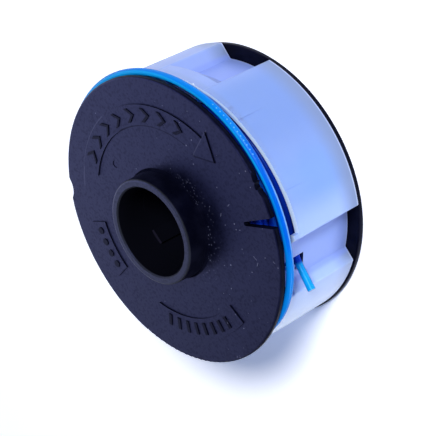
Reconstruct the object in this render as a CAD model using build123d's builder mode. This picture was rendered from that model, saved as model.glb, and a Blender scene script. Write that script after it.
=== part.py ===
from build123d import *
import os
from math import acos, atan, cos, degrees, pi, radians, sin

# Line spool for a grass trimmer: a black one-piece spool, a milky springy collar round the wound line,
# and the line itself, whose loose last turn shows between the front flange and the collar.
# Millimetres, +Z along the spool's axis. The spool stands on its rear flange, boss up, and the origin
# is the centre of that rear face. Angles are counted from +X, where the front flange has its line slot.

# Spool moulding
face_height = 26.2
front_flange_radius = 32.5
rear_flange_radius = 31.7
flange_thickness = 1.4
rim_rounding = 0.45
drum_radius = 18.0
drum_wall = 1.6
boss_radius = 11.9
boss_height = 5.2
boss_draft = 0.25
boss_rounding = 0.5
boss_root_rounding = 0.3
bore_radius = 10.1
bore_chamfer = 0.3
drive_bore_radius = 9.9

# Ribs that tie the hub to the drum, open to the rear
rib_count = 6
rib_thickness = 1.4
rib_setback = 0.8

# Drive ribs in the lower bore, which ends this far below the front face
drive_rib_count = 3
drive_rib_width = 3.4
drive_rib_height = 1.0
drive_bore_drop = 2.3
drive_rib_angle = -154.0

# Line slot in the front flange, narrow at its inner end and wide at the rim
slot_inner_radius = 24.6
slot_inner_width = 0.9
slot_mouth_width = 2.3

# Two dips in the front flange's rim: a smooth one, and a ragged one given as angles and depths along its edge
dip_angle = 164.6
dip_depth = 1.2
dip_cutter_radius = 4.2
ragged_dip = (
    (19.6, 0.0),
    (17.4, 0.6),
    (16.1, 0.75),
    (15.5, 0.5),
    (14.6, 1.0),
    (13.3, 1.1),
    (12.7, 0.75),
    (11.4, 0.6),
    (9.3, 0.0),
)

# Raised pads on the front face: a curved arrow that gives the winding direction, and two plain fields
pad_height = 0.25
pad_inner_radius = 21.9
pad_outer_radius = 26.6
arrow_tail_angle = 149.0
arrow_neck_angle = 43.2
arrow_tip_angle = 31.7
arrow_head_inner_radius = 20.8
arrow_head_outer_radius = 28.6
field_spans = ((-121.5, -56.0), (179.0, 208.6))

# Ejector pin mark on the front face
ejector_mark_radius = 0.85
ejector_mark_depth = 0.12
ejector_mark_distance = 17.9
ejector_mark_angle = 130.0

# Milky collar: panels on the outside, pockets folded inwards between them, split in the last pocket. The last
# panel springs in further than the others, and the first panel's front edge slants down to the first pocket
collar_radius = 32.0
last_panel_inset = 0.7
collar_wall = 1.1
collar_height = 19.4
collar_rear_gap = 0.2
pocket_count = 4
pocket_pitch = 92.0
first_pocket_angle = -22.9
pocket_mouth_span = 25.0
pocket_floor_span = 17.6
pocket_depth = 3.4
fold_rounding = 0.5
split_gap = 2.0
slant_drop = 1.45

# The two middle pockets end short of the front edge, where a plate ramps out to just inside the panels' radius
ramped_pockets = (1, 2)
ramp_length = 5.5
ramp_front_gap = 4.0
ramp_inset = 0.1

# Window in the front of each panel, deepest at the front edge
window_span = 30.7
window_length = 8.0
window_depth = 0.2

# Exit notch for the line in the first pocket's floor, open to the collar's front edge: its upper side lies
# at notch_lead past the pocket's middle, and its foot is wider than its neck
notch_lead = 0.7
notch_width = 2.1
notch_foot_width = 3.4
notch_neck_length = 3.3
notch_length = 5.6

# Line: the winding, its loose last turn in front of the collar, and the tail out of the notch
line_diameter = 1.6
winding_gap = 0.3
line_clearance = 0.1
turn_gap = 0.25
turn_overhang = 0.75
turn_start_angle = -20.0
turn_end_angle = 125.0
turn_tuck_radius = 23.4
tail_length = 6.9
tail_lean = 51.0
tail_climb = 8.5

# Sizes that follow from those above
spool_height = face_height + boss_height
flange_back = face_height - flange_thickness
drive_bore_top = face_height - drive_bore_drop
hub_wall = boss_radius - bore_radius
drum_inner_radius = drum_radius - drum_wall
line_radius = line_diameter / 2
collar_rear = flange_thickness + collar_rear_gap
collar_front = collar_rear + collar_height
beyond_collar = collar_radius + collar_wall
last_panel_radius = collar_radius - last_panel_inset
pocket_floor_radius = collar_radius - pocket_depth
pocket_inner_radius = pocket_floor_radius - collar_wall
winding_radius = pocket_inner_radius - winding_gap
beyond_rim = front_flange_radius + dip_cutter_radius
notch_angle = first_pocket_angle + degrees(notch_lead / pocket_floor_radius)
ramp_foot = collar_front - ramp_front_gap - ramp_length
ramp_root_radius = pocket_floor_radius - collar_wall / 2
ramp_front_radius = collar_radius - ramp_inset
ramp_rise = collar_wall / sin(atan(pocket_depth / ramp_length))
turn_radius = collar_radius + turn_overhang
slant_start = first_pocket_angle + pocket_mouth_span / 2 + degrees(collar_wall / collar_radius)
slant_end = first_pocket_angle + pocket_pitch - pocket_mouth_span / 2
slant_middle = (slant_start + slant_end) / 2
slant_angle = atan(slant_drop / (2 * collar_radius * sin(radians((slant_end - slant_start) / 2))))


def polar(radius, angle):
    """Point at a radius and an angle in degrees."""
    return (radius * cos(radians(angle)), radius * sin(radians(angle)))


def pocket_middle(pocket):
    """Angle of a pocket's middle. The last pocket is followed by the first one again."""
    return first_pocket_angle + (pocket * pocket_pitch if pocket < pocket_count else 360)


def rings_of(builder, radius):
    """Circular edges of a part that have a given radius."""
    return builder.edges().filter_by(GeomType.CIRCLE).filter_by(lambda ring: abs(ring.radius - radius) < 0.001)


def band(inner, outer, start, end):
    """Flat sector between two arcs about the axis."""
    with BuildSketch() as sector:
        with BuildLine():
            CenterArc((0, 0), outer, start, end - start)
            CenterArc((0, 0), inner, start, end - start)
            Line(polar(inner, start), polar(outer, start))
            Line(polar(inner, end), polar(outer, end))
        make_face()
    return sector.sketch


def ramp_plate(middle):
    """Plate that ramps out from a pocket's floor to the panels, and its sides end inside the pocket's walls."""
    with BuildPart() as plate:
        with BuildSketch(Plane.XZ.rotated((0, 0, middle - pocket_mouth_span))):
            with BuildLine():
                Polyline(
                    (ramp_root_radius, ramp_height(ramp_root_radius)),
                    (ramp_front_radius, ramp_height(ramp_front_radius)),
                    (ramp_front_radius, collar_front),
                    (ramp_front_radius - collar_wall, collar_front),
                    (ramp_front_radius - collar_wall, ramp_height(ramp_front_radius - collar_wall) + ramp_rise),
                    (ramp_root_radius, ramp_height(ramp_root_radius) + ramp_rise),
                    close=True,
                )
            make_face()
        revolve(axis=Axis.Z, revolution_arc=2 * pocket_mouth_span)
        with BuildSketch(Plane.XY.offset(collar_rear)):
            with BuildLine():
                Polyline(
                    polar(pocket_floor_radius, middle - pocket_floor_span / 2),
                    polar(collar_radius, middle - pocket_mouth_span / 2),
                    polar(collar_radius, middle + pocket_mouth_span / 2),
                    polar(pocket_floor_radius, middle + pocket_floor_span / 2),
                    close=True,
                )
            make_face()
            offset(amount=collar_wall / 2, kind=Kind.INTERSECTION)
        extrude(amount=collar_height, mode=Mode.INTERSECT)
    return plate.part


def ramp_height(radius):
    """Height at which a ramp's outer face has a given radius."""
    return ramp_foot + (radius - pocket_floor_radius) * ramp_length / pocket_depth


os.makedirs("parts", exist_ok=True)

# Spool: flanges, drum, hub and boss are one turned form, cored out from the rear
with BuildPart() as spool:
    with BuildSketch(Plane.XZ):
        with BuildLine():
            Polyline(
                (drive_bore_radius, 0),
                (boss_radius, 0),
                (boss_radius, flange_back),
                (drum_inner_radius, flange_back),
                (drum_inner_radius, 0),
                (rear_flange_radius, 0),
                (rear_flange_radius, flange_thickness),
                (drum_radius, flange_thickness),
                (drum_radius, flange_back),
                (front_flange_radius, flange_back),
                (front_flange_radius, face_height),
                (boss_radius + boss_draft, face_height),
                (boss_radius, spool_height),
                (bore_radius, spool_height),
                (bore_radius, drive_bore_top),
                (drive_bore_radius, drive_bore_top),
                close=True,
            )
        make_face()
    revolve(axis=Axis.Z)

    # Rounded rims, boss and boss root, and chamfers at the bore's two mouths
    for rim_radius in (front_flange_radius, rear_flange_radius):
        fillet(rings_of(spool, rim_radius), rim_rounding)
    fillet(rings_of(spool, boss_radius + boss_draft), boss_root_rounding)
    fillet(rings_of(spool, boss_radius).sort_by(Axis.Z)[-1], boss_rounding)
    chamfer(rings_of(spool, bore_radius).sort_by(Axis.Z)[-1], bore_chamfer)
    chamfer(rings_of(spool, drive_bore_radius).sort_by(Axis.Z)[0], bore_chamfer)

    # Ribs between the hub and the drum, set back from the rear face
    with BuildSketch(Plane.XY.offset(rib_setback)):
        with PolarLocations(boss_radius - hub_wall / 2, rib_count):
            Rectangle(
                drum_inner_radius - boss_radius + (hub_wall + drum_wall) / 2,
                rib_thickness,
                align=(Align.MIN, Align.CENTER),
            )
    extrude(amount=flange_back - rib_setback)

    # Drive ribs on the lower bore's wall, flush with its step
    with BuildSketch(Plane.XY.offset(bore_chamfer)):
        with PolarLocations(drive_bore_radius - drive_rib_height, drive_rib_count, start_angle=drive_rib_angle):
            Rectangle(drive_rib_height + hub_wall / 2, drive_rib_width, align=(Align.MIN, Align.CENTER))
    extrude(amount=drive_bore_top - bore_chamfer)

    # Raised arrow and plain fields on the front face
    with BuildSketch(Plane.XY.offset(face_height)):
        add(band(pad_inner_radius, pad_outer_radius, arrow_neck_angle, arrow_tail_angle))
        with BuildLine():
            Polyline(
                polar(arrow_head_outer_radius, arrow_neck_angle),
                polar((arrow_head_inner_radius + arrow_head_outer_radius) / 2, arrow_tip_angle),
                polar(arrow_head_inner_radius, arrow_neck_angle),
                close=True,
            )
        make_face()
        for field_start, field_end in field_spans:
            add(band(pad_inner_radius, pad_outer_radius, field_start, field_end))
    extrude(amount=pad_height)

    # Ejector pin mark
    with BuildSketch(Plane.XY.offset(face_height)):
        with Locations(polar(ejector_mark_distance, ejector_mark_angle)):
            Circle(ejector_mark_radius)
    extrude(amount=-ejector_mark_depth, mode=Mode.SUBTRACT)

    # Line slot and rim dips, cut through the front flange only
    with BuildSketch(Plane.XY.offset(flange_back)):
        with BuildLine():
            Polyline(
                (slot_inner_radius, -slot_inner_width / 2),
                (front_flange_radius, -slot_mouth_width / 2),
                (beyond_rim, -slot_mouth_width / 2),
                (beyond_rim, slot_mouth_width / 2),
                (front_flange_radius, slot_mouth_width / 2),
                (slot_inner_radius, slot_inner_width / 2),
                close=True,
            )
        make_face()
        with Locations((slot_inner_radius, 0)):
            Circle(slot_inner_width / 2)
        with Locations(polar(front_flange_radius - dip_depth + dip_cutter_radius, dip_angle)):
            Circle(dip_cutter_radius)
        with BuildLine():
            Polyline(
                polar(beyond_rim, ragged_dip[-1][0]),
                polar(beyond_rim, ragged_dip[0][0]),
                *(polar(front_flange_radius - depth, angle) for angle, depth in ragged_dip),
                close=True,
            )
        make_face()
    extrude(amount=flange_thickness, mode=Mode.SUBTRACT)

# Collar: one wall that follows the panels and the pockets, split so that it springs over the flanges
with BuildPart() as line_collar:
    with BuildSketch(Plane.XY.offset(collar_rear)):
        with BuildLine():
            for pocket in range(pocket_count):
                middle = pocket_middle(pocket)
                here_radius = last_panel_radius if pocket == 0 else collar_radius
                next_radius = last_panel_radius if pocket == pocket_count - 1 else collar_radius
                mouth_start = middle - pocket_mouth_span / 2
                mouth_end = middle + pocket_mouth_span / 2
                floor_start = middle - pocket_floor_span / 2
                floor_end = middle + pocket_floor_span / 2
                panel_span = pocket_middle(pocket + 1) - middle - pocket_mouth_span
                Line(polar(here_radius, mouth_start), polar(pocket_floor_radius, floor_start))
                CenterArc((0, 0), pocket_floor_radius, floor_start, pocket_floor_span)
                Line(polar(pocket_floor_radius, floor_end), polar(next_radius, mouth_end))
                CenterArc((0, 0), next_radius, mouth_end, panel_span)
        make_face()
        offset(amount=-collar_wall, kind=Kind.INTERSECTION, mode=Mode.SUBTRACT)
    extrude(amount=collar_height)
    fillet(line_collar.edges().filter_by(Axis.Z), fold_rounding)

    # Plates that close the front of the middle pockets
    for pocket in ramped_pockets:
        add(ramp_plate(pocket_middle(pocket)))

    # Split in the floor of the last pocket
    with BuildSketch(Plane.XY.offset(collar_rear)):
        with Locations(Location((0, 0, 0), (0, 0, pocket_middle(pocket_count - 1)))):
            with Locations((pocket_floor_radius, 0)):
                Rectangle(pocket_depth + 2 * collar_wall, split_gap)
    extrude(amount=collar_height, mode=Mode.SUBTRACT)

    # Windows, each cut by a thin wedge turned about the axis
    for panel in range(pocket_count):
        window_start = (pocket_middle(panel) + pocket_middle(panel + 1) - window_span) / 2
        panel_radius = last_panel_radius if panel == pocket_count - 1 else collar_radius
        with BuildSketch(Plane.XZ.rotated((0, 0, window_start))):
            with BuildLine():
                Polyline(
                    (panel_radius - window_depth, collar_front),
                    (panel_radius, collar_front - window_length),
                    (beyond_collar, collar_front - window_length),
                    (beyond_collar, collar_front),
                    close=True,
                )
            make_face()
        revolve(axis=Axis.Z, revolution_arc=window_span, mode=Mode.SUBTRACT)

    # Slant of the first panel's front edge, from the second pocket down to the first one's wall
    slant_plane = Plane(
        origin=(*polar(collar_radius, slant_middle), collar_front - slant_drop / 2),
        z_dir=(*polar(-sin(slant_angle), slant_middle + 90), cos(slant_angle)),
    )
    with BuildPart(mode=Mode.PRIVATE) as slant:
        with BuildSketch(Plane.XY.offset(collar_front - 2 * slant_drop)):
            add(band(pocket_floor_radius, beyond_collar, slant_start, slant_end))
        extrude(amount=3 * slant_drop)
        split(bisect_by=slant_plane, keep=Keep.TOP)
    add(slant.part, mode=Mode.SUBTRACT)

    # Exit notch, narrow at the front edge and wider at its foot
    for notch_top, notch_bottom, width in (
        (collar_front, collar_front - notch_neck_length, notch_width),
        (collar_front - notch_neck_length, collar_front - notch_length, notch_foot_width),
    ):
        with BuildSketch(Plane.XY.offset(notch_bottom)):
            notch_end = notch_angle - degrees(width / pocket_floor_radius)
            add(band(winding_radius, collar_radius, notch_end, notch_angle))
        extrude(amount=notch_top - notch_bottom, mode=Mode.SUBTRACT)

# Wound line: the outer shape of the coil, from flange to flange
with BuildPart() as line_winding:
    with BuildSketch(Plane.XZ):
        with Locations((drum_radius, flange_thickness)):
            Rectangle(winding_radius - drum_radius, flange_back - flange_thickness, align=(Align.MIN, Align.MIN))
    revolve(axis=Axis.Z)

# Loose last turn, which springs out between the front flange and the collar: a wide arc about the axis with a
# smaller tangent arc at each end, which tucks it in until it lies on the winding
turn_height = flange_back - turn_gap - line_radius
tuck_offset = turn_radius - turn_tuck_radius
tuck_end_radius = winding_radius + line_radius + line_clearance
tuck_excess = tuck_end_radius**2 - tuck_offset**2 - turn_tuck_radius**2
tuck_sweep = degrees(acos(tuck_excess / (2 * tuck_offset * turn_tuck_radius)))
with BuildPart() as line_turn:
    with BuildLine(Plane.XY.offset(turn_height)) as turn_path:
        CenterArc(polar(tuck_offset, turn_start_angle), turn_tuck_radius, turn_start_angle - tuck_sweep, tuck_sweep)
        CenterArc((0, 0), turn_radius, turn_start_angle, turn_end_angle - turn_start_angle)
        CenterArc(polar(tuck_offset, turn_end_angle), turn_tuck_radius, turn_end_angle, tuck_sweep)
    turn_wire = turn_path.wires()[0]
    with BuildSketch(Plane(origin=turn_wire @ 0, z_dir=turn_wire % 0)):
        Circle(line_radius)
    sweep(path=turn_wire)

# Tail of the line: straight, out through the notch's foot, leaning outwards from the tangent and climbing
tail_start_angle = notch_angle - degrees((notch_foot_width / 2 - line_clearance) / winding_radius)
tail_level = collar_front - (notch_neck_length + notch_length) / 2 + line_clearance
tail_start = Vector(*polar(winding_radius + line_radius, tail_start_angle), tail_level)
tail_heading = Vector(*polar(cos(radians(tail_climb)), tail_start_angle - 90 + tail_lean), sin(radians(tail_climb)))
with BuildPart() as line_tail:
    with BuildSketch(Plane(origin=tail_start, z_dir=tail_heading)):
        Circle(line_radius)
    extrude(amount=tail_length)

# The loose turn's radii, its length and its volume against section by length, and the tail's two ends
print("turn radii", turn_radius, turn_tuck_radius, "sweep", round(tuck_sweep, 2), "length", round(turn_wire.length, 2))
print("turn volume", round(line_turn.part.volume, 2), "against", round(pi * line_radius**2 * turn_wire.length, 2))
print("tail from", tail_start, "to", tail_start + tail_heading * tail_length)

for name, piece in (
    ("spool", spool),
    ("line_collar", line_collar),
    ("line_winding", line_winding),
    ("line_turn", line_turn),
    ("line_tail", line_tail),
):
    piece.part.label = name
    export_step(piece.part, f"parts/{name}.step")
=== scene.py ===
"""Looks of a grass trimmer's line spool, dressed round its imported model.

The spool stands on its rear flange with its axis on Z, and its front flange, which carries the boss, is on
top. Sizes are in metres and angles in degrees, counted from the front flange's line slot, which lies on +X.
"""

import logging
import math
from dataclasses import dataclass
from enum import Enum

import bmesh
import bpy
from mathutils import Matrix, Vector


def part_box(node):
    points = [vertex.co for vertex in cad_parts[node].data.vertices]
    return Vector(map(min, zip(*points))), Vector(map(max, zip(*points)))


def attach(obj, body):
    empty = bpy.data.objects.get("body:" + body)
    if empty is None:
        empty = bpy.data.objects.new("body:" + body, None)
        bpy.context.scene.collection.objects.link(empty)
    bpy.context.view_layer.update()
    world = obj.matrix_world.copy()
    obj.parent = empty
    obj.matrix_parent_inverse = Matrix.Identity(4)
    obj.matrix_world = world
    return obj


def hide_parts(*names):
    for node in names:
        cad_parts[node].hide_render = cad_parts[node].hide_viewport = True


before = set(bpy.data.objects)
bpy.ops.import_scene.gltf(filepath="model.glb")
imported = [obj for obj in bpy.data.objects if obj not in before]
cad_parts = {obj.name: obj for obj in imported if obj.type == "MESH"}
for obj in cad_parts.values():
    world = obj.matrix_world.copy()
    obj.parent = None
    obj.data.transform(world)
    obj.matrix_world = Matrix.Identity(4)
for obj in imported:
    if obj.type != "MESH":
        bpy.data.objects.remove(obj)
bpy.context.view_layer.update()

log = logging.getLogger("line_spool")

ROOT_BODY = "root"

Colour = tuple[float, float, float]
Place = tuple[float, float, float]
Point = tuple[float, float]
Band = tuple[float, float]
Socket = bpy.types.NodeSocket

WHITE: Colour = (1.0, 1.0, 1.0)
FULL_TURN = 360.0
QUARTER_TURN = 90.0


class Slot(Enum):
    """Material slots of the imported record."""

    BLACK = "black_plastic"
    MILKY = "milky_plastic"
    BLUE = "blue_nylon"


class Mark(Enum):
    """Shapes of the small raised marks on the front face's pads."""

    CHEVRON = "chevron"
    BAR = "bar"
    PIP = "pip"


def polar(radius: float, angle: float, height: float = 0.0) -> Vector:
    """Return the point at a radius, an angle and a height about the spool's axis.

    Args:
        radius: Distance from the axis, in metres.
        angle: Angle from +X, in degrees.
        height: Height above the rear face, in metres.

    Returns:
        The point as a vector.
    """
    turn = math.radians(angle)
    return Vector((radius * math.cos(turn), radius * math.sin(turn), height))


def heading(azimuth: float, elevation: float) -> Vector:
    """Return the direction in which a camera or a lamp stands."""
    rise = math.radians(elevation)
    return polar(math.cos(rise), azimuth, math.sin(rise))


def blend(start: float, end: float, share: float) -> float:
    """Return the value a share of the way from start to end."""
    return start + (end - start) * share


def ease(share: float) -> float:
    """Return a share from 0 to 1 with a soft start and a soft end."""
    return share * share * (3.0 - 2.0 * share)


def new_object(name: str, data: bpy.types.ID) -> bpy.types.Object:
    """Add an object to the scene.

    Args:
        name: The object's name.
        data: Its mesh, curve, lamp or camera.

    Returns:
        The new object.
    """
    thing = bpy.data.objects.new(name, data)
    bpy.context.scene.collection.objects.link(thing)
    return thing


def put_on(node: bpy.types.Object, finish: bpy.types.Material) -> None:
    """Give every slot of a CAD node one material.

    Args:
        node: The CAD node.
        finish: Its material.
    """
    if not node.material_slots:
        node.data.materials.append(finish)
    for slot in node.material_slots:
        slot.material = finish


class NodeBoard:
    """Short calls that add and join the nodes of one tree.

    A mask is a number from 0 to 1, and its two edges are where it is 0 and where it is 1, in either order.
    """

    stroke_edges: Band = (0.7, 0.3)
    least_speck: float = 0.3
    colour_inputs: tuple[int, int] = (6, 7)
    colour_output: int = 2

    def __init__(self, tree: bpy.types.NodeTree) -> None:
        """Keep the tree that the nodes go into."""
        self.tree = tree

    def add(
        self,
        kind: str,
        sockets: dict[str | int, object] | None = None,
        **settings: object,
    ) -> bpy.types.Node:
        """Add a node, and set or join its inputs.

        Args:
            kind: The node's type name.
            sockets: Values or output sockets, by input name or number.
            **settings: The node's own properties.

        Returns:
            The new node.
        """
        node = self.tree.nodes.new(kind)
        for name, value in settings.items():
            setattr(node, name, value)
        for name, value in (sockets or {}).items():
            if isinstance(value, Socket):
                self.tree.links.new(value, node.inputs[name])
            else:
                node.inputs[name].default_value = value
        return node

    def math(self, operation: str, *values: float | Socket) -> Socket:
        """Return the result of one sum on up to three numbers."""
        return self.add("ShaderNodeMath", dict(enumerate(values)), operation=operation).outputs[0]

    def both(self, first: Socket, second: float | Socket) -> Socket:
        """Return a mask times another mask or a strength."""
        return self.math("MULTIPLY", first, second)

    def either(self, first: Socket, second: Socket) -> Socket:
        """Return the larger of two masks."""
        return self.math("MAXIMUM", first, second)

    def span(self, start: float, end: float, share: Socket) -> Socket:
        """Return a number between start and end, by a share from 0 to 1."""
        return self.math("MULTIPLY_ADD", share, end - start, start)

    def smooth(self, value: Socket, low: float, high: float) -> Socket:
        """Return 0 at low and 1 at high, eased in between, or the reverse where low is the larger."""
        sockets = {"Value": value, "From Min": low, "From Max": high}
        return self.add("ShaderNodeMapRange", sockets, interpolation_type="SMOOTHSTEP").outputs[0]

    def from_base(self, value: Socket, base: float, edges: Band) -> Socket:
        """Return the mask whose two edges are counted from a base."""
        return self.smooth(value, base + edges[0], base + edges[1])

    def past(self, angle: Socket, edges: Band) -> Socket:
        """Return the mask whose two edges are angles in degrees."""
        return self.smooth(angle, math.radians(edges[0]), math.radians(edges[1]))

    def between(self, value: Socket, low: float, high: float, edge: float) -> Socket:
        """Return 1 from low to high and 0 outside them, eased over an edge."""
        rise = self.smooth(value, low - edge, low)
        return self.both(rise, self.smooth(value, high + edge, high))

    def sector(self, angle: Socket, ends: Band, fade: float) -> Socket:
        """Return 1 between two angles in degrees and 0 outside them, eased over a fade."""
        start, end = (math.radians(x) for x in ends)
        return self.between(angle, start, end, math.radians(fade))

    def mix(self, factor: float | Socket, first: Socket | Colour, second: Socket | Colour) -> Socket:
        """Return a colour between two colours.

        Args:
            factor: The second colour's share.
            first: The first colour, or a socket that gives it.
            second: The second colour, or a socket that gives it.

        Returns:
            The mixed colour.
        """
        node = self.add("ShaderNodeMix", {0: factor}, data_type="RGBA")
        for number, colour in zip(self.colour_inputs, (first, second)):
            if isinstance(colour, Socket):
                self.tree.links.new(colour, node.inputs[number])
            else:
                node.inputs[number].default_value = (*colour, 1.0)
        return node.outputs[self.colour_output]

    def noise(self, place: Socket, scale: float, detail: float = 3.0) -> Socket:
        """Return soft noise about 0.5 at a scale in cells for each metre."""
        sockets = {"Vector": place, "Scale": scale, "Detail": detail}
        return self.add("ShaderNodeTexNoise", sockets).outputs[0]

    def place(self) -> Socket:
        """Return the place on the piece, in metres."""
        return self.add("ShaderNodeTexCoord").outputs["Object"]

    def axes(self, vector: Socket) -> bpy.types.NodeOutputs:
        """Return a vector's three numbers."""
        return self.add("ShaderNodeSeparateXYZ", {"Vector": vector}).outputs

    def upward(self) -> Socket:
        """Return how far the surface faces up: 1 for a level top and 0 for a wall."""
        return self.axes(self.add("ShaderNodeNewGeometry").outputs["Normal"])[2]

    def radius(self, place: Socket) -> Socket:
        """Return the distance from the spool's axis.

        Args:
            place: Where on the piece.

        Returns:
            The distance in metres.
        """
        axes = self.axes(place)
        flat = self.add("ShaderNodeCombineXYZ", {0: axes[0], 1: axes[1]}).outputs[0]
        return self.add("ShaderNodeVectorMath", {0: flat}, operation="LENGTH").outputs["Value"]

    def angle(self, place: Socket) -> Socket:
        """Return the angle about the spool's axis, in radians from +X."""
        axes = self.axes(place)
        return self.math("ARCTAN2", axes[1], axes[0])

    def near_line(self, place: Socket, start: Point, end: Point, width: float) -> Socket:
        """Return a mask of a thin straight stroke, seen along Z.

        Args:
            place: Where on the piece.
            start: One end of the stroke, in X and Y.
            end: The other end.
            width: The stroke's width.

        Returns:
            1 on the stroke's middle and 0 beside it.
        """
        length = math.dist(start, end)
        along = ((end[0] - start[0]) / length, (end[1] - start[1]) / length)
        axes = self.axes(place)
        x = self.math("SUBTRACT", axes[0], start[0])
        y = self.math("SUBTRACT", axes[1], start[1])
        reach = self.math("MULTIPLY_ADD", x, along[0], self.math("MULTIPLY", y, along[1]))
        aside = self.math("MULTIPLY_ADD", x, -along[1], self.math("MULTIPLY", y, along[0]))
        edges = (width * share for share in self.stroke_edges)
        beside = self.smooth(self.math("ABSOLUTE", aside), *edges)
        return self.both(self.between(reach, 0.0, length, width / 2), beside)

    def bump(self, height: Socket, distance: float) -> Socket:
        """Return a normal raised by a height map."""
        return self.add("ShaderNodeBump", {"Height": height, "Distance": distance}).outputs[0]

    def specks(self, place: Socket, cells: float, share: float, size: float) -> Socket:
        """Return a mask of small round specks.

        Args:
            place: Where on the piece.
            cells: Cells for each metre, each of which may hold one speck.
            share: Share of the cells that hold one.
            size: The largest speck's radius, as a share of a cell.

        Returns:
            1 on a speck and 0 elsewhere.
        """
        cell = self.add("ShaderNodeTexVoronoi", {"Vector": place, "Scale": cells})
        draw = self.add("ShaderNodeSeparateColor", {"Color": cell.outputs["Color"]})
        chosen = self.math("LESS_THAN", draw.outputs[0], share)
        reach = self.span(size * self.least_speck, size, draw.outputs[1])
        inside = self.math("LESS_THAN", cell.outputs["Distance"], reach)
        return self.both(chosen, inside)

    def seen(self, rays: bpy.types.NodeOutputs) -> Socket:
        """Return 1 for the rays that meet the surround as the camera does: its own, mirrored and passing."""
        seen = self.either(rays["Is Camera Ray"], rays["Is Glossy Ray"])
        return self.either(seen, rays["Is Transmission Ray"])


def new_material(name: str) -> tuple[bpy.types.Material, NodeBoard]:
    """Make an empty node material.

    Args:
        name: The material's name.

    Returns:
        The material and its board.
    """
    material = bpy.data.materials.new(name)
    material.use_nodes = True
    material.node_tree.nodes.clear()
    return material, NodeBoard(material.node_tree)


def close_material(board: NodeBoard, surface: Socket) -> None:
    """Join a shader to the material's output."""
    board.add("ShaderNodeOutputMaterial", {"Surface": surface})


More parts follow.
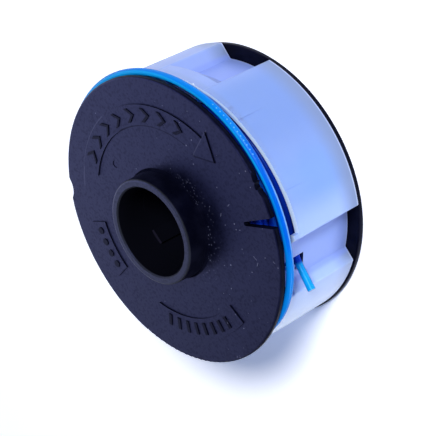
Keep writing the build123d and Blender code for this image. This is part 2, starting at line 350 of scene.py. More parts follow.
@dataclass(frozen=True)
class BlackPlastic:
    """Fine-grained black moulding: a sheen on its front, near-black walls and rear, and specks of dust.

    Each set of specks has its cells for each metre, the share of them that hold one, and the largest radius
    as a share of a cell. Edges named ring, handled and corner are heights counted from the boss's top, and
    the grit's are radii counted from its foot.
    """

    name: str = "black_moulding"
    deep: Colour = (0.0008, 0.0010, 0.0040)
    worn: Colour = (0.0030, 0.0034, 0.0095)
    dust: Colour = (0.13, 0.14, 0.22)
    grit: Colour = (0.050, 0.054, 0.095)
    # painted highlight: lighter lines along lit edges of the arrow and a pad
    painted_edge_highlight: Colour = (0.026, 0.028, 0.048)
    # painted shade: darker inside the bore
    painted_bore_shade: Colour = (0.0022, 0.0024, 0.0046)
    # lighter on the boss's top
    boss_top_tone: Colour = (0.016, 0.018, 0.022)
    # painted light on the drive rib's level end
    painted_rib_light: Colour = (0.012, 0.011, 0.022)
    sheen_tint: Colour = (0.27, 0.32, 1.0)
    sheen: float = 0.66
    wall_sheen: float = 0.06
    roughness: Band = (0.36, 0.44)
    bore_edges: Band = (0.0104, 0.0101)
    rib_edges: Band = (0.0098, 0.0097)
    boss_foot: float = 0.0124
    foot_blend: float = 0.0003
    boss_top: float = 0.0313
    ring_edges: Band = (-0.0008, -0.0004)
    boss_top_tone_edges: Band = (-0.0004, 0.0)
    corner_edges: Band = (-0.0040, -0.0045)
    corner_width: float = 0.0012
    corner_roughness: float = 0.95
    level_edges: Band = (0.62, 0.92)
    front_edges: Band = (0.020, 0.022)
    grain_cells: float = 2800.0
    grain_depth: float = 0.000016
    mottle_cells: float = 260.0
    pit_cells: float = 1500.0
    pit_shades: Band = (1.12, 0.70)
    patch_edges: Band = (0.35, 0.75)
    few_specks: tuple[float, float, float] = (620.0, 0.10, 0.09)
    many_specks: tuple[float, float, float] = (992.0, 0.22, 0.17)
    most_specks: tuple[float, float, float] = (1736.0, 0.70, 0.34)
    slot_edges: Band = (0.002, 0.012)
    grit_edges: Band = (0.0045, 0.0010)
    edge_width: float = 0.00022
    # width of the painted shade line along the arrow's foot
    shade_line_width: float = 0.000352
    scratch_width: float = 0.00012
    arc_fade: float = 5.0
    # painted shade line along a pad's inner arc: its radius, its ends and the share of sheen left on it
    arc_radius: float = 0.0218
    arc_angles: Band = (52.0, 104.0)
    arc_shade: float = 0.40
    # where the painted highlight runs: part of a pad's outer arc, and the arrow's side
    pad_radius: float = 0.0267
    pad_angles: Band = (116.0, 158.0)
    arrow_side: tuple[Point, Point] = ((0.0213, 0.0198), (0.0151, 0.0148))
    arrow_foot: tuple[Point, Point] = ((0.0151, 0.0148), (0.0213, 0.0131))
    scratches: tuple[tuple[Point, Point], ...] = (
        ((0.0241, -0.0070), (0.0247, -0.0078)),
        ((0.0248, -0.0084), (0.0243, -0.0091)),
        ((0.0294, -0.0080), (0.0298, -0.0084)),
        ((0.0209, 0.0038), (0.0215, 0.0042)),
        ((0.0178, 0.0016), (0.0182, 0.0023)),
    )

    def arc(self, board: NodeBoard, place: Socket, radius: float, angles: Band) -> Socket:
        """Return the mask of a thin arc about the spool's axis.

        Args:
            board: The material's board.
            place: Where on the piece.
            radius: The arc's radius.
            angles: Its two ends, in degrees from +X.

        Returns:
            1 on the arc and 0 beside it.
        """
        outside = radius + self.edge_width
        ring = board.between(board.radius(place), radius, outside, self.edge_width / 2)
        return board.both(ring, board.sector(board.angle(place), angles, self.arc_fade))

    def marked(self, board: NodeBoard, place: Socket, flat: Socket, colour: Socket) -> Socket:
        """Add painted highlights along lit edges of the arrow and a pad, and the scratches of the front
        face.

        Args:
            board: The material's board.
            place: Where on the piece.
            flat: The mask of level places towards the front.
            colour: The plain moulding's colour.

        Returns:
            The marked moulding's colour.
        """
        # painted highlight along the arrow's side and a pad's outer arc, edges that face the light
        side = board.near_line(place, *self.arrow_side, self.edge_width)
        edge = board.either(side, self.arc(board, place, self.pad_radius, self.pad_angles))
        colour = board.mix(board.both(edge, flat), colour, self.painted_edge_highlight)
        for start, end in self.scratches:
            scratch = board.near_line(place, start, end, self.scratch_width)
            colour = board.mix(board.both(scratch, flat), colour, self.dust)
        return colour

    def dusted(self, board: NodeBoard, place: Socket, flat: Socket, colour: Socket) -> Socket:
        """Add specks of dust: few all over, many on the slot's side and most by the boss there.

        Args:
            board: The material's board.
            place: Where on the piece.
            flat: The mask of level places towards the front.
            colour: The clean moulding's colour.

        Returns:
            The dusty moulding's colour.
        """
        near_slot = board.smooth(board.axes(place)[0], *self.slot_edges)
        near_boss = board.from_base(board.radius(place), self.boss_foot, self.grit_edges)
        few = board.specks(place, *self.few_specks)
        many = board.both(board.specks(place, *self.many_specks), near_slot)
        most = board.both(board.specks(place, *self.most_specks), board.both(near_slot, near_boss))
        colour = board.mix(board.both(board.either(few, many), flat), colour, self.dust)
        return board.mix(board.both(most, flat), colour, self.grit)

    def bore_rib_and_boss_tones(self, board: NodeBoard, place: Socket, level: Socket, colour: Socket) -> Socket:
        """Add painted shade in the bore, painted light on the drive rib's end and a lighter top on the boss.

        Args:
            board: The material's board.
            place: Where on the piece.
            level: The mask of level places.
            colour: The moulding's colour so far.

        Returns:
            The moulding's colour with these added.
        """
        radius = board.radius(place)
        # painted shade inside the bore
        colour = board.mix(board.smooth(radius, *self.bore_edges), colour, self.painted_bore_shade)
        rib_end = board.both(board.smooth(radius, *self.rib_edges), level)
        # painted light on the drive rib's level end
        colour = board.mix(rib_end, colour, self.painted_rib_light)
        # the boss's top is a little lighter
        boss_end = board.from_base(board.axes(place)[2], self.boss_top, self.boss_top_tone_edges)
        return board.mix(boss_end, colour, self.boss_top_tone)

    def dullness(self, board: NodeBoard, place: Socket, mottle: Socket) -> Socket:
        """Return the roughness, which is highest in the corner at the boss's foot.

        Args:
            board: The material's board.
            place: Where on the piece.
            mottle: The mask of soft patches.

        Returns:
            The roughness.
        """
        start = self.boss_foot - self.corner_width
        ring = board.between(board.radius(place), start, self.boss_foot, self.foot_blend)
        corner = board.both(ring, board.from_base(board.axes(place)[2], self.boss_top, self.corner_edges))
        return board.either(board.span(*self.roughness, mottle), board.both(corner, self.corner_roughness))

    def shine(self, board: NodeBoard, place: Socket, flat: Socket) -> Socket:
        """Return the share of the front's sheen, less in the pits and along two painted shade lines.

        Args:
            board: The material's board.
            place: Where on the piece.
            flat: The mask of level places towards the front.

        Returns:
            The share: 0 where the moulding is as dull as its walls.
        """
        open_face = board.from_base(board.radius(place), self.boss_foot, (0.0, self.foot_blend))
        ring = board.from_base(board.axes(place)[2], self.boss_top, self.ring_edges)
        front = board.both(flat, board.either(open_face, ring))
        # painted shade: two thin lines with less sheen, along a pad's inner edge and the arrow's foot
        arc = self.arc(board, place, self.arc_radius, self.arc_angles)
        foot = board.near_line(place, *self.arrow_foot, self.shade_line_width)
        shade_lines = board.both(board.either(arc, foot), flat)
        pitted = board.smooth(board.noise(place, self.pit_cells, detail=1.0), *self.patch_edges)
        shade = board.both(board.span(*self.pit_shades, pitted), board.span(1.0, self.arc_shade, shade_lines))
        return board.both(front, shade)

    def make(self) -> bpy.types.Material:
        """Build the material.

        Returns:
            The new material.
        """
        material, board = new_material(self.name)
        place = board.place()
        level = board.smooth(board.upward(), *self.level_edges)
        flat = board.both(level, board.smooth(board.axes(place)[2], *self.front_edges))
        mottle = board.smooth(board.noise(place, self.mottle_cells), *self.patch_edges)
        colour = board.mix(mottle, self.deep, self.worn)
        colour = self.marked(board, place, flat, colour)
        colour = self.dusted(board, place, flat, colour)
        colour = self.bore_rib_and_boss_tones(board, place, level, colour)
        roughness = self.dullness(board, place, mottle)
        normal = board.bump(board.noise(place, self.grain_cells, detail=2.0), self.grain_depth)
        shaders = [
            board.add(
                "ShaderNodeBsdfPrincipled",
                {
                    "Base Color": colour,
                    "Roughness": roughness,
                    "Specular IOR Level": sheen,
                    "Specular Tint": (*self.sheen_tint, 1.0),
                    "Normal": normal,
                },
            ).outputs[0]
            for sheen in (self.wall_sheen, self.sheen)
        ]
        sockets = {0: self.shine(board, place, flat), 1: shaders[0], 2: shaders[1]}
        close_material(board, board.add("ShaderNodeMixShader", sockets).outputs[0])
        return material


@dataclass(frozen=True)
class MilkyPlastic:
    """Translucent milky sheet: bluer where the wound line lies close behind it; painted light on its front
    edge.

    Edges named haze, rim_haze and touched are heights counted from the sheet's rear or front edge, and those
    named pocket, outer and covered are radii counted from its outside.
    """

    name: str = "milky_sheet"
    # painted light: the level end face's outer part is paler
    painted_end_light: Colour = (0.54, 0.68, 1.0)
    # a whitish streak near the front
    whitish_streak: Colour = (0.72, 0.84, 1.0)
    # a darker, patchy area near the front
    darker_patch: Colour = (0.15, 0.21, 0.45)
    # painted light: the sheet's lower side, towards -Y, is paler
    low: Colour = (0.58, 0.69, 1.0)
    near: Colour = (0.34, 0.48, 0.92)
    pocketed: Colour = (0.20, 0.29, 0.78)
    tinted: Colour = (0.20, 0.345, 0.75)
    hazy: Colour = (0.25, 0.36, 0.74)
    upper: Colour = (0.185, 0.30, 0.67)
    top: Colour = (0.27, 0.37, 0.74)
    rear: Colour = (0.20, 0.275, 0.49)
    # painted highlight: a light line along the rear edge
    painted_rear_highlight: Colour = (0.42, 0.50, 0.80)
    # painted glow: blue on the end face where the loose turn lies just in front of it
    painted_line_glow: Colour = (0.01, 0.14, 0.70)
    # painted shade: near-black on the end face's inner part and at its lowest angles
    painted_end_shade: Colour = (0.004, 0.010, 0.060)
    # painted shade: a dark blue strip just below the front edge, round the exit
    painted_edge_shade: Colour = (0.02, 0.10, 0.45)
    roughness: float = 0.38
    index: float = 1.49
    sheen: float = 0.35
    scatter: float = 0.0016
    scatter_share: float = 0.4
    scatter_radii: Place = (1.0, 1.1, 1.4)
    cloud_cells: float = 55.0
    cloud_edges: Band = (0.30, 0.72)
    ripple_cells: float = 420.0
    ripple_depth: float = 0.00003
    end_face_edges: Band = (0.5, 0.8)
    upper_angles: Band = (8.0, 34.0)
    top_angles: Band = (48.0, 62.0)
    near_angles: Band = (5.0, -9.0)
    low_sides: Band = (-0.014, -0.030)
    haze_edges: Band = (0.0060, 0.0005)
    painted_rear_highlight_edges: Band = (0.0005, 0.0)
    rim_haze_edges: Band = (-0.0025, -0.0006)
    rim_haze: float = 0.4
    pocket_edges: Band = (-0.00192, -0.00288)
    pocket_tint: float = 0.6
    painted_edge_shade_edges: Band = (-0.0016, -0.0009)
    painted_edge_shade_angles: Band = (-34.0, -13.0)
    painted_edge_shade_fade: float = 3.0
    outer_edges: Band = (-0.0018, -0.0012)
    outer_angles: Band = (-16.0, -12.0)
    covered_edges: Band = (-0.00042, -0.00066)
    covered_angles: Band = (34.0, 52.0)
    streak_angles: Band = (57.5, 61.5)
    streak_fade: float = 1.0
    streak_height: float = 0.0223
    streak_slope: float = 0.0189
    streak_width: float = 0.0003
    dark_patch_angles: Band = (38.0, 45.0)
    dark_patch_fade: float = 3.0
    dark_patch_heights: Band = (0.0198, 0.0216)
    dark_patch_blend: float = 0.0008
    dark_patch_cells: float = 900.0
    dark_patch_edges: Band = (0.46, 0.62)
    dark_patch_tint: float = 0.6

    def streak_and_patch(self, board: NodeBoard, place: Socket, sheet: Socket) -> Socket:
        """Add a whitish streak and a darker, patchy area, both near the front.

        Args:
            board: The material's board.
            place: Where on the piece.
            sheet: The sheet's colour so far.

        Returns:
            The sheet's colour with both added.
        """
        height, angle = board.axes(place)[2], board.angle(place)
        slanted = board.math("MULTIPLY_ADD", angle, self.streak_slope, height)
        level = self.streak_height + self.streak_slope * math.radians(self.streak_angles[0])
        half = self.streak_width / 2
        streak = board.between(slanted, level - half, level + half, half)
        streak = board.both(streak, board.sector(angle, self.streak_angles, self.streak_fade))
        dark_patch = board.sector(angle, self.dark_patch_angles, self.dark_patch_fade)
        dark_patch = board.both(dark_patch, board.between(height, *self.dark_patch_heights, self.dark_patch_blend))
        patchy = board.smooth(board.noise(place, self.dark_patch_cells), *self.dark_patch_edges)
        dark_patch = board.both(dark_patch, board.both(patchy, self.dark_patch_tint))
        return board.mix(streak, board.mix(dark_patch, sheet, self.darker_patch), self.whitish_streak)

    def sheet(self, board: NodeBoard, place: Socket) -> Socket:
        """Return the colour of the sheet's outside, walls and pockets.

        Args:
            board: The material's board.
            place: Where on the piece.

        Returns:
            The colour.
        """
        low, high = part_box("line_collar")
        axes, angle = board.axes(place), board.angle(place)
        clouds = board.smooth(board.noise(place, self.cloud_cells, detail=2.0), *self.cloud_edges)
        sheet = board.mix(clouds, self.hazy, self.tinted)
        sheet = board.mix(board.past(angle, self.upper_angles), sheet, self.upper)
        sheet = board.mix(board.past(angle, self.top_angles), sheet, self.top)
        sheet = board.mix(board.past(angle, self.near_angles), sheet, self.near)
        rim_haze = board.both(board.from_base(axes[2], high.z, self.rim_haze_edges), self.rim_haze)
        hazed = board.either(board.from_base(axes[2], low.z, self.haze_edges), rim_haze)
        sheet = board.mix(hazed, sheet, self.rear)
        # painted light: paler on the lower side, towards -Y
        sheet = board.mix(board.smooth(axes[1], *self.low_sides), sheet, self.low)
        # painted highlight along the rear edge
        painted_rear_highlight = board.from_base(axes[2], low.z, self.painted_rear_highlight_edges)
        sheet = board.mix(painted_rear_highlight, sheet, self.painted_rear_highlight)
        pocket = board.from_base(board.radius(place), high.x, self.pocket_edges)
        sheet = board.mix(board.both(pocket, self.pocket_tint), sheet, self.pocketed)
        sheet = self.streak_and_patch(board, place, sheet)
        # painted shade: dark blue strip just below the front edge, round the exit
        painted_edge_shade = board.sector(angle, self.painted_edge_shade_angles, self.painted_edge_shade_fade)
        painted_edge_shade = board.both(painted_edge_shade, board.from_base(axes[2], high.z, self.painted_edge_shade_edges))
        return board.mix(painted_edge_shade, sheet, self.painted_edge_shade)

    def end_face(self, board: NodeBoard, place: Socket) -> Socket:
        """Return the level end face's colour: painted light outside, and painted shade where the line hides
        it.

        Args:
            board: The material's board.
            place: Where on the piece.

        Returns:
            The colour.
        """
        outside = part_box("line_collar")[1].x
        radius, angle = board.radius(place), board.angle(place)
        # painted light on the end face's outer part; painted shade on the rest of it
        outer = board.from_base(radius, outside, self.outer_edges)
        outer = board.both(outer, board.past(angle, self.outer_angles))
        # painted glow where the loose turn lies just in front of the end face
        covered = board.from_base(radius, outside, self.covered_edges)
        covered = board.both(covered, board.past(angle, self.covered_angles))
        return board.mix(covered, board.mix(outer, self.painted_end_shade, self.painted_end_light), self.painted_line_glow)

    def make(self) -> bpy.types.Material:
        """Build the material.

        Returns:
            The new material.
        """
        material, board = new_material(self.name)
        place = board.place()
        level = board.smooth(board.upward(), *self.end_face_edges)
        # the level end face takes its painted light, shade and glow
        shader = board.add(
            "ShaderNodeBsdfPrincipled",
            {
                "Base Color": board.mix(level, self.sheet(board, place), self.end_face(board, place)),
                "Roughness": self.roughness,
                "IOR": self.index,
                "Specular IOR Level": self.sheen,
                "Subsurface Weight": self.scatter_share,
                "Subsurface Radius": self.scatter_radii,
                "Subsurface Scale": self.scatter,
                "Normal": board.bump(board.noise(place, self.ripple_cells, detail=2.0), self.ripple_depth),
            },
        )
        close_material(board, shader.outputs[0])
        return material


@dataclass(frozen=True)
class BlueNylon:
    """Clear blue monofilament: sky blue where free, painted greener light and highlights, painted shade in
    the winding.

    Edges named free are radii counted from the winding's outside, those named inward, outward and middle are
    radii counted from the loose turn's, and those named hollow, crest and rim are heights counted from its.
    """

    name: str = "blue_monofilament"
    sky: Colour = (0.0, 0.225, 0.80)
    # painted highlight: a pale line low on the loose turn's outer side
    milky: Colour = (0.17, 0.45, 1.0)
    # painted shade: darker blue on the loose turn's outer part at low angles
    deep: Colour = (0.0, 0.125, 0.74)
    # painted light: greener blue on the tail and the loose turn's inner side
    painted_light_cyan: Colour = (0.004, 0.38, 0.92)
    # painted shade: dark blue on the wound layers and at the tail's start in the notch
    painted_shade_navy: Colour = (0.002, 0.036, 0.56)
    # painted highlight: paler dots along the loose turn's crest, on the nicks
    painted_dot_highlight: Colour = (0.16, 0.60, 1.0)
    roughness: float = 0.24
    index: float = 1.53
    sheen: float = 0.07
    sheen_tint: Colour = (0.35, 0.7, 1.0)
    see_through: float = 0.22
    free_edges: Band = (-0.0004, 0.0008)
    hollow_edges: Band = (-0.0032, -0.0048)
    inward_edges: Band = (0.00064, 0.0004)
    upper_angles: Band = (0.0, 25.0)
    outward_edges: Band = (0.0, 0.0003)
    crest_heights: Band = (0.00030, 0.00040)
    crest_blend: float = 0.00006
    rim_heights: Band = (-0.0004, -0.00006)
    rim_blend: float = 0.0001
    rim_angles: Band = (-8.0, 8.0)
    rim_fade: float = 14.0
    middle_edges: Band = (0.00032, 0.000512)
    middle_angles: Band = (-6.0, 24.0)
    middle_fade: float = 12.0
    shaded_tail_start_edges: Band = (-0.0009, -0.0001)
    nick_pitch: float = 0.00105
    nick_depth: float = 0.00001
    nick_edges: Band = (0.55, 0.9)
    nick_angles: Band = (24.0, 46.0)
    nick_fade: float = 2.0

    def nicks(self, board: NodeBoard, angle: Socket, radius: float) -> Socket:
        """Return the mask of the evenly spaced nicks along the loose turn.

        Args:
            board: The material's board.
            angle: The angle about the spool's axis, in radians.
            radius: The loose turn's radius.

        Returns:
            1 in the sectors of the nicks and 0 between them.
        """
        waves = board.math("SINE", board.math("MULTIPLY", angle, math.tau * radius / self.nick_pitch))
        stretch = board.sector(angle, self.nick_angles, self.nick_fade)
        return board.both(board.smooth(waves, *self.nick_edges), stretch)

    def free_colour(self, board: NodeBoard, place: Socket, line: "CuttingLine", dots: Socket) -> Socket:
        """Return the colour of the line where it lies free, with its painted light, shade and highlights.

        Args:
            board: The material's board.
            place: Where on the piece.
            line: The line, whose radii and heights part the colours.
            dots: The mask of the nicks' sectors on the free line.

        Returns:
            The colour.
        """
        axes, radius, angle = board.axes(place), board.radius(place), board.angle(place)
        tail = board.from_base(axes[2], line.turn_height, self.hollow_edges)
        inward = board.from_base(radius, line.turn_radius, self.inward_edges)
        # painted light on the tail, and on the loose turn's inner side at its upper angles
        bright = board.either(tail, board.both(inward, board.past(angle, self.upper_angles)))
        outward = board.from_base(radius, line.turn_radius, self.outward_edges)
        ends = (line.turn_height + height for height in self.crest_heights)
        crest = board.both(board.between(axes[2], *ends, self.crest_blend), outward)
        ends = (line.turn_height + height for height in self.rim_heights)
        # painted highlight: thin pale line low on the loose turn's outer side
        rim = board.both(board.between(axes[2], *ends, self.rim_blend), outward)
        rim = board.both(rim, board.sector(angle, self.rim_angles, self.rim_fade))
        # painted shade on the loose turn's outer part at low angles
        middle = board.from_base(radius, line.turn_radius, self.middle_edges)
        middle = board.both(middle, board.sector(angle, self.middle_angles, self.middle_fade))
        colour = board.mix(bright, self.sky, self.painted_light_cyan)
        colour = board.mix(middle, colour, self.deep)
        colour = board.mix(rim, colour, self.milky)
        # painted highlight: paler dots where the nicks meet the crest
        colour = board.mix(board.both(dots, crest), colour, self.painted_dot_highlight)
        # painted shade at the tail's start, inside the notch
        shaded_tail_start = board.from_base(axes[1], line.tail_points[0][1], self.shaded_tail_start_edges)
        return board.mix(board.both(tail, shaded_tail_start), colour, self.painted_shade_navy)

    def make(self, line: "CuttingLine") -> bpy.types.Material:
        """Build the material.

        Args:
            line: The line, whose radii and heights part the colours.

        Returns:
            The new material.
        """
        material, board = new_material(self.name)
        place = board.place()
        wound = line.layer_radius(line.layers - 1) + line.diameter / 2
        free = board.from_base(board.radius(place), wound, self.free_edges)
        nicked = self.nicks(board, board.angle(place), line.turn_radius)
        colour = self.free_colour(board, place, line, board.both(nicked, free))
        shader = board.add(
            "ShaderNodeBsdfPrincipled",
            {
                # painted shade: the wound layers are dark blue
                "Base Color": board.mix(free, self.painted_shade_navy, colour),
                "Roughness": self.roughness,
                "IOR": self.index,
                "Specular IOR Level": self.sheen,
                "Specular Tint": (*self.sheen_tint, 1.0),
                "Transmission Weight": self.see_through,
                "Normal": board.bump(nicked, self.nick_depth),
            },
        )
        close_material(board, shader.outputs[0])
        return material


@dataclass(frozen=True)
class PaleFloor:
    """White studio floor that keeps a soft, cool shadow."""

    name: str = "pale_floor"
    colour: Colour = (0.80, 0.82, 0.86)
    seen: Colour = (1.36, 1.34, 1.34)
    lift: Colour = (0.02, 0.08, 0.24)

    def make(self) -> bpy.types.Material:
        """Build the material.

        Returns:
            The new material.
        """
        material, board = new_material(self.name)
        seen = board.seen(board.add("ShaderNodeLightPath").outputs)
        diffuse = board.add("ShaderNodeBsdfDiffuse", {"Color": board.mix(seen, self.colour, self.seen)})
        lift = board.add("ShaderNodeEmission", {"Color": (*self.lift, 1.0), "Strength": seen})
        lifted = board.add("ShaderNodeAddShader", {0: diffuse.outputs[0], 1: lift.outputs[0]})
        close_material(board, lifted.outputs[0])
        return material


@dataclass
class PhotoCamera:
    """Camera at the photograph's viewing angle, rolled as the spool leans there."""

    aim: Place = (0.00089, -0.00386, 0.01355)
    distance: float = 0.31348
    azimuth: float = 17.87
    elevation: float = 37.08
    roll: float = -118.05
    focal_pixels: float = 1450.0
    image_pixels: float = 436.0
    sensor: float = 36.0
    nearest: float = 0.01
    farthest: float = 20.0

    def build(self) -> None:
        """Make the camera and set it as the scene's own."""
        back = heading(self.azimuth, self.elevation)
        level = polar(1.0, self.azimuth + QUARTER_TURN)
        upright = back.cross(level)
        roll = math.radians(self.roll)
        right = level * math.cos(roll) + upright * math.sin(roll)
        up = upright * math.cos(roll) - level * math.sin(roll)
        data = bpy.data.cameras.new("photo_camera")
        data.sensor_width = self.sensor
        data.lens = self.focal_pixels / self.image_pixels * self.sensor
        data.clip_start = self.nearest
        data.clip_end = self.farthest
        camera = new_object("photo_camera", data)
        turned = Matrix((right, up, back)).transposed().to_4x4()
        camera.matrix_world = Matrix.Translation(Vector(self.aim) + back * self.distance) @ turned
        bpy.context.scene.camera = camera


@dataclass(frozen=True)
class Station:
    """A place that the line passes: its angle, radius and height."""

    angle: float
    radius: float
    height: float


@dataclass
class CuttingLine:
    """The whole cutting line: six wound layers, the loose turn and the tail, as one curve.

    The line runs clockwise seen from the front, so its angle falls along its length.
    """

    diameter: float = 0.0016
    length: float = 10.98
    drum_radius: float = 0.018
    layers: int = 6
    layer_turns: float = 13.0
    wound_step: float = 24.0
    free_step: float = 7.5
    flange_room: float = 0.00005
    layer_change: float = 60.0
    crossing_start: float = 232.0
    crossing_end: float = 186.0
    crossing_height: float = 0.0151
    turn_radius: float = 0.03275
    turn_height: float = 0.02392
    turn_start: float = 125.0
    turn_end: float = -20.0
    turn_steps: int = 12
    tuck_radius: float = 0.0234
    tuck_span: float = 60.0
    tuck_room: float = 8.0
    bow: float = 0.00028
    bow_angle: float = 48.0
    bow_span: float = 38.0
    hump: float = 0.0016
    hump_ramp: float = 11.0
    return_turns: int = 3
    return_height: float = 0.0221
    return_start: float = -128.0
    tail_height: float = 0.01665
    tail_points: tuple[Place, ...] = (
        (0.02540, -0.01177, 0.01665),
        (0.02700, -0.01503, 0.01719),
        (0.02841, -0.01790, 0.01767),
    )
    tail_angle: float = -25.0
    tail_lead: float = 4.0
    cut_flare: float = 1.1
    curve_order: int = 3
    curve_steps: int = 3
    round_steps: int = 4
    own_share: float = 0.75

    def layer_radius(self, layer: int) -> float:
        """Return the centreline's radius in a wound layer.

        Args:
            layer: The layer's number, from 0 on the drum.

        Returns:
            The radius.
        """
        low = self.drum_radius + self.diameter / 2 + self.flange_room
        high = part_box("line_winding")[1].x - self.diameter / 2
        return blend(low, high, layer / (self.layers - 1))

    def tucked(self, offset: float) -> float:
        """Return the radius on the tangent arc by which the loose turn's ends reach the winding.

        Args:
            offset: Angle past the turn's end, in degrees.

        Returns:
            The radius from the spool's axis.
        """
        centre = self.turn_radius - self.tuck_radius
        turn = math.radians(offset)
        return centre * math.cos(turn) + math.sqrt(self.tuck_radius**2 - (centre * math.sin(turn)) ** 2)

    def wound_stations(self) -> list[Station]:
        """Set the stations of the wound layers.

        Returns:
            The stations, ending where the line crosses to the front.
        """
        low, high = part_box("line_winding")
        rear = low.z + self.diameter / 2 + self.flange_room
        front = high.z - self.diameter / 2 - self.flange_room
        pitch = (front - rear) / self.layer_turns
        last_turns = (self.crossing_height - rear) / pitch
        full = (self.layers - 1) * (self.layer_turns * FULL_TURN + self.layer_change)
        angle = self.crossing_start + full + last_turns * FULL_TURN
        stations = []
        for layer in range(self.layers):
            start, end = (front, rear) if layer % 2 == 0 else (rear, front)
            turns = self.layer_turns
            if layer == self.layers - 1:
                end = self.crossing_height
                turns = last_turns
            stations.append(Station(angle, self.layer_radius(layer), start))
            stations.append(Station(angle - turns * FULL_TURN, self.layer_radius(layer), end))
            angle -= turns * FULL_TURN + self.layer_change
        return stations

    def bowed(self, angle: float) -> float:
        """Return how far the loose turn springs out past its own radius at an angle."""
        share = max(0.0, 1.0 - abs(angle - self.bow_angle) / self.bow_span)
        return self.bow * ease(share)

    def loose_stations(self) -> list[Station]:
        """Set the stations of the loose turn.

        Returns:
            The stations, from the crossing to where the line lies on the winding again.
        """
        top = self.layer_radius(self.layers - 1)
        shares = [number / self.turn_steps for number in range(self.turn_steps + 1)]
        rise = [self.tuck_span * (1 - share) for share in shares]
        low = self.crossing_end - self.turn_start
        stations = [
            Station(self.crossing_start, top, self.crossing_height),
            Station(self.crossing_end, self.tucked(low), self.turn_height - self.diameter / 4),
        ]
        for offset in rise:
            if offset < low - self.tuck_room:
                stations.append(Station(self.turn_start + offset, self.tucked(offset), self.turn_height))
        for share in shares[1:-1]:
            angle = blend(self.turn_start, self.turn_end, share)
            stations.append(Station(angle, self.turn_radius + self.bowed(angle), self.turn_height))
        for offset in reversed(rise):
            stations.append(Station(self.turn_end - offset, self.tucked(offset), self.turn_height))
        return stations

    def return_stations(self) -> list[Station]:
        """Set the stations from the loose turn back to the exit notch, over the crossing at each pass.

        Returns:
            The stations, ending just before the notch.
        """
        top = self.layer_radius(self.layers - 1)
        last = self.tail_angle - FULL_TURN * self.return_turns
        drop = (self.return_height - self.tail_height) / (self.return_start - last)
        stations = []
        for turn in range(self.return_turns):
            begin = self.crossing_start - FULL_TURN * (turn + 1)
            end = self.crossing_end - FULL_TURN * (turn + 1)
            for angle, lift in (
                (begin + self.hump_ramp, 0.0),
                (begin, self.hump),
                (end, self.hump),
                (end - self.hump_ramp, 0.0),
            ):
                height = self.return_height - drop * (self.return_start - angle)
                stations.append(Station(angle, top + lift, height))
        stations.append(Station(last + self.tail_lead, top, self.tail_height))
        return stations

    def walk(self, stations: list[Station], step: float) -> list[Vector]:
        """Set control points through stations, so that the smooth curve keeps the stations' radius.

        Args:
            stations: The stations, in the line's order.
            step: The largest angle between two points.

        Returns:
            The points, without the last station.
        """
        growth = 1.0 / blend(math.cos(math.radians(step)), 1.0, self.own_share)
        points = []
        for here, there in zip(stations, stations[1:]):
            count = max(1, math.ceil((here.angle - there.angle) / step))
            for number in range(count):
                share = number / count
                radius = blend(here.radius, there.radius, ease(share)) * growth
                height = blend(here.height, there.height, share)
                points.append(polar(radius, blend(here.angle, there.angle, share), height))
        return points

    def centreline(self) -> list[Vector]:
        """Set the control points of the whole line.

        Returns:
            The points, from the drum to the tail's end.
        """
        points = self.walk(self.wound_stations(), self.wound_step)
        points += self.walk(self.loose_stations() + self.return_stations(), self.free_step)
        points += [Vector(point) for point in self.tail_points]
        return points

    def curve(self, points: list[Vector]) -> bpy.types.Curve:
        """Make the line's round curve.

        Args:
            points: Its control points.

        Returns:
            The curve, as one smooth spline.
        """
        data = bpy.data.curves.new("cutting_line", "CURVE")
        data.dimensions = "3D"
        data.bevel_depth = self.diameter / 2
        data.bevel_resolution = self.round_steps
        data.use_fill_caps = True
        spline = data.splines.new("NURBS")
        spline.points.add(len(points) - 1)
        for slot, point in zip(spline.points, points):
            slot.co = (*point, 1.0)
            slot.radius = 1.0
        spline.points[-1].radius = self.cut_flare
        spline.order_u = self.curve_order
        spline.use_endpoint_u = True
        spline.resolution_u = self.curve_steps
        return data

    def build(self, finish: bpy.types.Material) -> None:
        """Args:
            finish: The line's material.
        """
        points = self.centreline()
        line = new_object("cutting_line", self.curve(points))
        line.data.materials.append(finish)
        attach(line, ROOT_BODY)
        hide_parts("line_winding", "line_turn", "line_tail")
        log.info("cutting_line: %d control points, %.2f m", len(points), self.length)


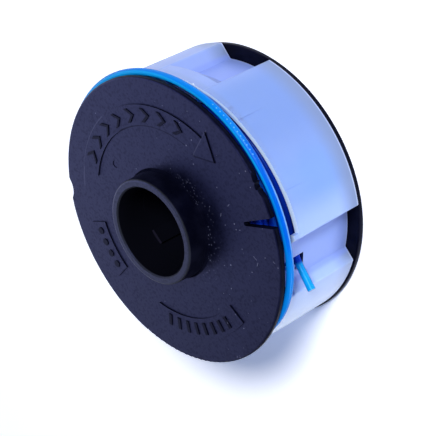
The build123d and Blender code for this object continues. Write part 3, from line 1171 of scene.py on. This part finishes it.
@dataclass
class ArcArray:
    """Geometry Nodes that set copies of a small mark along an arc about the spool's axis."""

    name: str = "marks_along_arc"
    inputs: tuple[tuple[str, str], ...] = (
        ("Geometry", "NodeSocketGeometry"),
        ("Count", "NodeSocketInt"),
        ("Radius", "NodeSocketFloat"),
        ("Height", "NodeSocketFloat"),
        ("First Angle", "NodeSocketFloat"),
        ("Angle Step", "NodeSocketFloat"),
        ("Size Spread", "NodeSocketFloat"),
        ("Seed", "NodeSocketInt"),
        ("Finish", "NodeSocketMaterial"),
    )

    def tree(self) -> bpy.types.GeometryNodeTree:
        """Build the node tree, with its sizes as named inputs.

        Returns:
            The node tree.
        """
        tree = bpy.data.node_groups.new(self.name, "GeometryNodeTree")
        for name, kind in self.inputs:
            tree.interface.new_socket(name, in_out="INPUT", socket_type=kind)
        tree.interface.new_socket("Geometry", in_out="OUTPUT", socket_type="NodeSocketGeometry")
        board = NodeBoard(tree)
        given = board.add("NodeGroupInput").outputs
        line = board.add("GeometryNodeMeshLine", {"Count": given["Count"], "Offset": (0.0, 0.0, 0.0)})
        index = board.add("GeometryNodeInputIndex").outputs[0]
        turned = board.math("MULTIPLY_ADD", index, given["Angle Step"], given["First Angle"])
        angle = board.math("RADIANS", turned)
        across = board.math("MULTIPLY", board.math("COSINE", angle), given["Radius"])
        along = board.math("MULTIPLY", board.math("SINE", angle), given["Radius"])
        place = board.add("ShaderNodeCombineXYZ", {0: across, 1: along, 2: given["Height"]}).outputs[0]
        points = board.add("GeometryNodeSetPosition", {"Geometry": line.outputs[0], "Position": place})
        euler = board.add("ShaderNodeCombineXYZ", {2: angle}).outputs[0]
        rotation = board.add("FunctionNodeEulerToRotation", {0: euler}).outputs[0]
        least = board.math("SUBTRACT", 1.0, given["Size Spread"])
        sizes = {2: least, 3: 1.0, "Seed": given["Seed"]}
        size = board.add("FunctionNodeRandomValue", sizes, data_type="FLOAT").outputs[1]
        copies = board.add(
            "GeometryNodeInstanceOnPoints",
            {
                "Points": points.outputs[0],
                "Instance": given["Geometry"],
                "Rotation": rotation,
                "Scale": size,
            },
        )
        real = board.add("GeometryNodeRealizeInstances", {"Geometry": copies.outputs[0]}).outputs[0]
        dressed = board.add("GeometryNodeSetMaterial", {"Geometry": real, "Material": given["Finish"]})
        board.add("NodeGroupOutput", {"Geometry": dressed.outputs[0]})
        return tree


@dataclass(frozen=True)
class MarkRow:
    """One row of raised marks on a pad of the front face."""

    name: str
    mark: Mark
    count: int
    first_angle: float
    last_angle: float
    size: float
    stroke: float
    radius: float = 0.0243
    rise: float = 0.00018
    bevel: float = 0.35
    bevel_steps: int = 2
    chevron_reach: float = 0.75
    pip_corners: int = 16
    size_spread: float = 0.0
    seed: int = 3

    def outline(self) -> list[Vector]:
        """Draw the mark.

        Returns:
            Its corners, with +X outwards and +Y against the winding.
        """
        half = self.size / 2
        if self.mark is Mark.PIP:
            step = FULL_TURN / self.pip_corners
            return [polar(half, step * corner) for corner in range(self.pip_corners)]
        if self.mark is Mark.BAR:
            thin = self.stroke / 2
            corners = ((-half, thin), (-half, -thin), (half, -thin), (half, thin))
        else:
            reach = half * self.chevron_reach
            corners = (
                (-half, reach),
                (-half, reach - self.stroke),
                (0.0, -reach - self.stroke / 2),
                (half, reach - self.stroke),
                (half, reach),
                (0.0, -reach + self.stroke / 2),
            )
        return [Vector((*corner, 0.0)) for corner in corners]

    def shape(self) -> bpy.types.Mesh:
        """Make one mark at the origin, as a closed prism with a small top bevel.

        Returns:
            The mark's mesh.
        """
        mesh = bpy.data.meshes.new(self.name)
        shell = bmesh.new()
        ring = [shell.verts.new(point) for point in self.outline()]
        base = shell.faces.new(ring)
        bmesh.ops.recalc_face_normals(shell, faces=[base])
        raised = bmesh.ops.extrude_face_region(shell, geom=[base])
        top = [item for item in raised["geom"] if isinstance(item, bmesh.types.BMVert)]
        bmesh.ops.translate(shell, verts=top, vec=Vector((0, 0, self.rise)))
        rims = [edge for edge in shell.edges if all(vert.co.z > self.rise / 2 for vert in edge.verts)]
        offset = self.rise * self.bevel
        bmesh.ops.bevel(shell, geom=rims, offset=offset, segments=self.bevel_steps, affect="EDGES")
        bmesh.ops.recalc_face_normals(shell, faces=shell.faces)
        shell.to_mesh(mesh)
        shell.free()
        return mesh

    def build(self, tree: bpy.types.GeometryNodeTree, height: float, finish: bpy.types.Material) -> None:
        """Make the row as one plain mesh on its pad.

        Args:
            tree: The node tree that sets copies along an arc.
            height: Height of the pad's top.
            finish: The marks' material.
        """
        seed_object = new_object(f"{self.name}_seed", self.shape())
        array = seed_object.modifiers.new("along_arc", "NODES")
        array.node_group = tree
        values = {
            "Count": self.count,
            "Radius": self.radius,
            "Height": height,
            "First Angle": self.first_angle,
            "Angle Step": (self.last_angle - self.first_angle) / max(1, self.count - 1),
            "Size Spread": self.size_spread,
            "Seed": self.seed,
            "Finish": finish,
        }
        for item in tree.interface.items_tree:
            if item.in_out == "INPUT" and item.name in values:
                array[item.identifier] = values[item.name]
        ready = seed_object.evaluated_get(bpy.context.evaluated_depsgraph_get())
        mesh = bpy.data.meshes.new_from_object(ready)
        bpy.data.objects.remove(seed_object)
        row = new_object(self.name, mesh)
        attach(row, ROOT_BODY)
        log.info("%s: %d marks", self.name, self.count)


@dataclass
class SpoolBody:
    """The black moulding, with the raised marks on its front face."""

    pad_top: float = 0.02645
    mark_sheen: float = 0.16
    rows: tuple[MarkRow, ...] = (
        MarkRow(
            name="winding_chevrons",
            mark=Mark.CHEVRON,
            count=8,
            first_angle=139.0,
            last_angle=58.0,
            size=0.0031,
            stroke=0.0010,
        ),
        MarkRow(
            name="field_bars",
            mark=Mark.BAR,
            count=8,
            first_angle=-112.0,
            last_angle=-66.0,
            size=0.0028,
            stroke=0.0009,
        ),
        MarkRow(
            name="field_pips",
            mark=Mark.PIP,
            count=4,
            first_angle=184.0,
            last_angle=203.5,
            size=0.0017,
            stroke=0.0,
        ),
    )

    def dress(self) -> None:
        """Give the moulding its material and set its marks."""
        put_on(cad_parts["spool"], BlackPlastic().make())
        dark = BlackPlastic(name="black_marks", sheen=self.mark_sheen).make()
        tree = ArcArray().tree()
        for row in self.rows:
            row.build(tree, self.pad_top, dark)
        log.info("spool: dressed")


@dataclass
class LineCollar:
    """The milky, pocketed sheet round the wound line."""

    finish: MilkyPlastic = MilkyPlastic()

    def dress(self) -> None:
        """Give the sheet its material."""
        put_on(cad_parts["line_collar"], self.finish.make())
        log.info("line_collar: dressed")


@dataclass(frozen=True)
class Lamp:
    """One soft disk lamp that points at the spool.

    Its level is what it adds to a white sheet that faces it: 1.0 renders the sheet at full white.
    """

    name: str
    azimuth: float
    elevation: float
    size: float
    level: float
    distance: float = 1.4

    def build(self) -> None:
        """Hang the lamp."""
        direction = heading(self.azimuth, self.elevation)
        data = bpy.data.lights.new(self.name, "AREA")
        data.shape = "DISK"
        data.size = self.size
        data.energy = self.level * math.pi * math.pi * self.distance**2
        lamp = new_object(self.name, data)
        lamp.location = direction * self.distance
        lamp.rotation_euler = direction.to_track_quat("Z", "Y").to_euler()


@dataclass
class Studio:
    """Pale floor, soft light and a white surround.

    What gloss mirrors runs from dim to bright across a slanting direction, between two edges.
    """

    floor_size: float = 4.0
    floor_drop: float = 0.00003
    lamps: tuple[Lamp, ...] = (
        Lamp(name="key", azimuth=38.5, elevation=40.0, size=0.40, level=1.08),
        Lamp(name="fill", azimuth=-60.0, elevation=5.0, size=0.70, level=0.62),
    )
    ambient: float = 0.14
    ambient_colour: Colour = (0.93, 0.95, 1.0)
    mirrored: Band = (0.50, 1.72)
    mirrored_colour: Colour = (0.62, 0.66, 0.95)
    mirror_lean: float = 0.7
    mirror_edges: Band = (-0.494, -0.744)

    def floor(self) -> None:
        """Lay the floor just under the rear flange."""
        half = self.floor_size / 2
        mesh = bpy.data.meshes.new("floor")
        corners = [(-half, -half), (half, -half), (half, half), (-half, half)]
        mesh.from_pydata([(x, y, -self.floor_drop) for x, y in corners], [], [(0, 1, 2, 3)])
        mesh.materials.append(PaleFloor().make())
        new_object("floor", mesh)

    def surround(self) -> None:
        """Fill the world with plain light, white to the camera and brighter on one side to gloss."""
        world = bpy.data.worlds.new("surround")
        world.use_nodes = True
        world.node_tree.nodes.clear()
        board = NodeBoard(world.node_tree)
        rays = board.add("ShaderNodeLightPath").outputs
        seen = board.seen(rays)
        colour = board.mix(seen, self.ambient_colour, WHITE)
        colour = board.mix(rays["Is Glossy Ray"], colour, self.mirrored_colour)
        axes = board.axes(board.add("ShaderNodeTexCoord").outputs["Generated"])
        across = board.math("MULTIPLY_ADD", axes[1], -self.mirror_lean, axes[0])
        mirrored = board.span(*self.mirrored, board.smooth(across, *self.mirror_edges))
        glossy = board.both(rays["Is Glossy Ray"], board.math("SUBTRACT", mirrored, 1.0))
        strength = board.math("ADD", board.span(self.ambient, 1.0, seen), glossy)
        light = board.add("ShaderNodeBackground", {"Color": colour, "Strength": strength})
        board.add("ShaderNodeOutputWorld", {"Surface": light.outputs[0]})
        bpy.context.scene.world = world

    def build(self) -> None:
        """Set up the floor, the lamps, the surround and the plain colour view."""
        self.floor()
        for lamp in self.lamps:
            lamp.build()
        self.surround()
        bpy.context.scene.view_settings.view_transform = "Standard"
        log.info("studio: ready")


def main() -> None:
    """Build every part of the picture in order."""
    logging.basicConfig(level=logging.INFO, format="%(message)s")
    PhotoCamera().build()
    line = CuttingLine()
    line.build(BlueNylon().make(line))
    SpoolBody().dress()
    LineCollar().dress()
    Studio().build()


if __name__ == "__main__":
    main()
